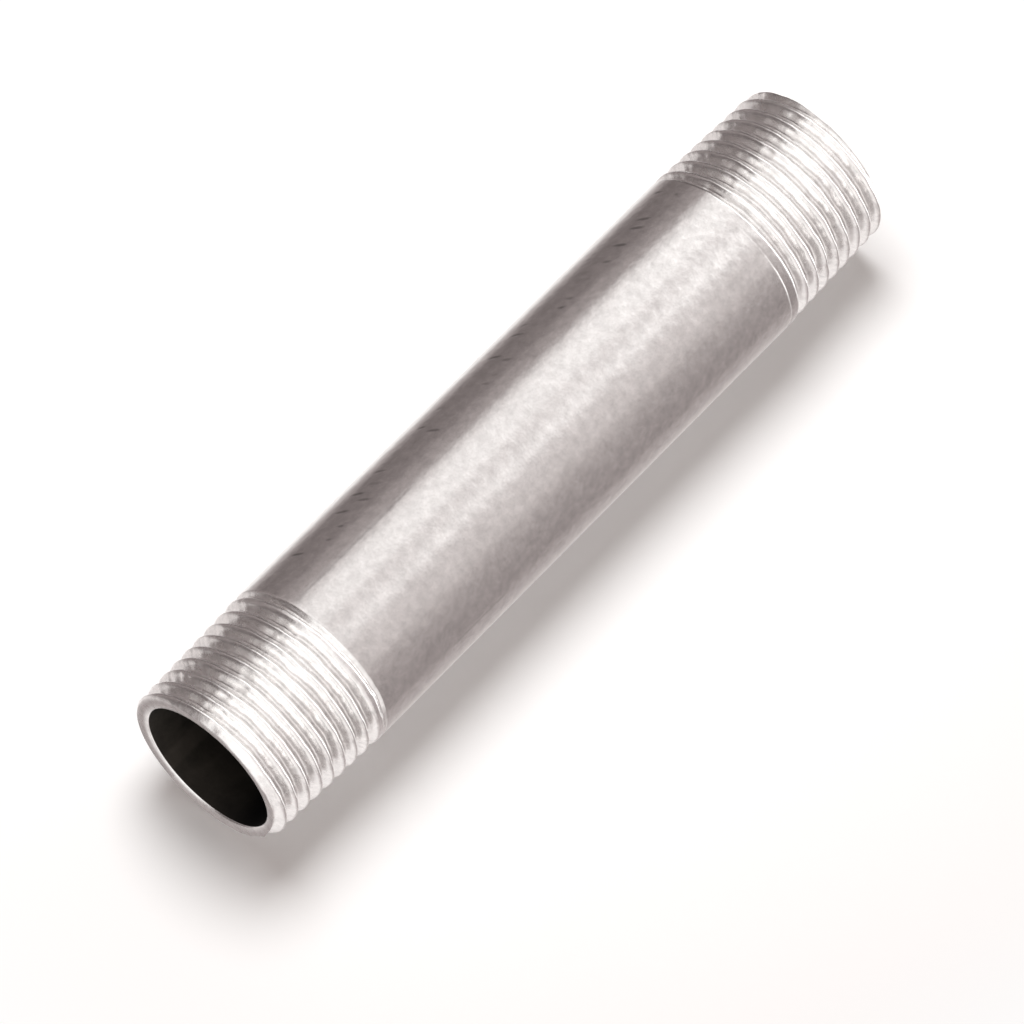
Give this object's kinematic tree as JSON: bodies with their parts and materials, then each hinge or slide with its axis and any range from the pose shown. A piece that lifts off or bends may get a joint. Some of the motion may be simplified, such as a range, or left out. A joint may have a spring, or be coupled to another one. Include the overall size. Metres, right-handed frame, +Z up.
{
  "type": "double nipple",
  "caption": "Straight steel pipe nipple, open from end to end, with an external taper pipe thread on each end.",
  "frame": {"origin": "centre of the lower end face, on the pipe's axis, where the nipple stands", "axes": "+Z up along the pipe's axis to the other end face; X and Y lie in the end face"},
  "size_m": [0.0212, 0.0212, 0.1],
  "materials": {
    "galvanised_steel": "satin"
  },
  "bodies": {
    "root": {"double_nipple": "galvanised_steel"}
  },
  "joints": []
}
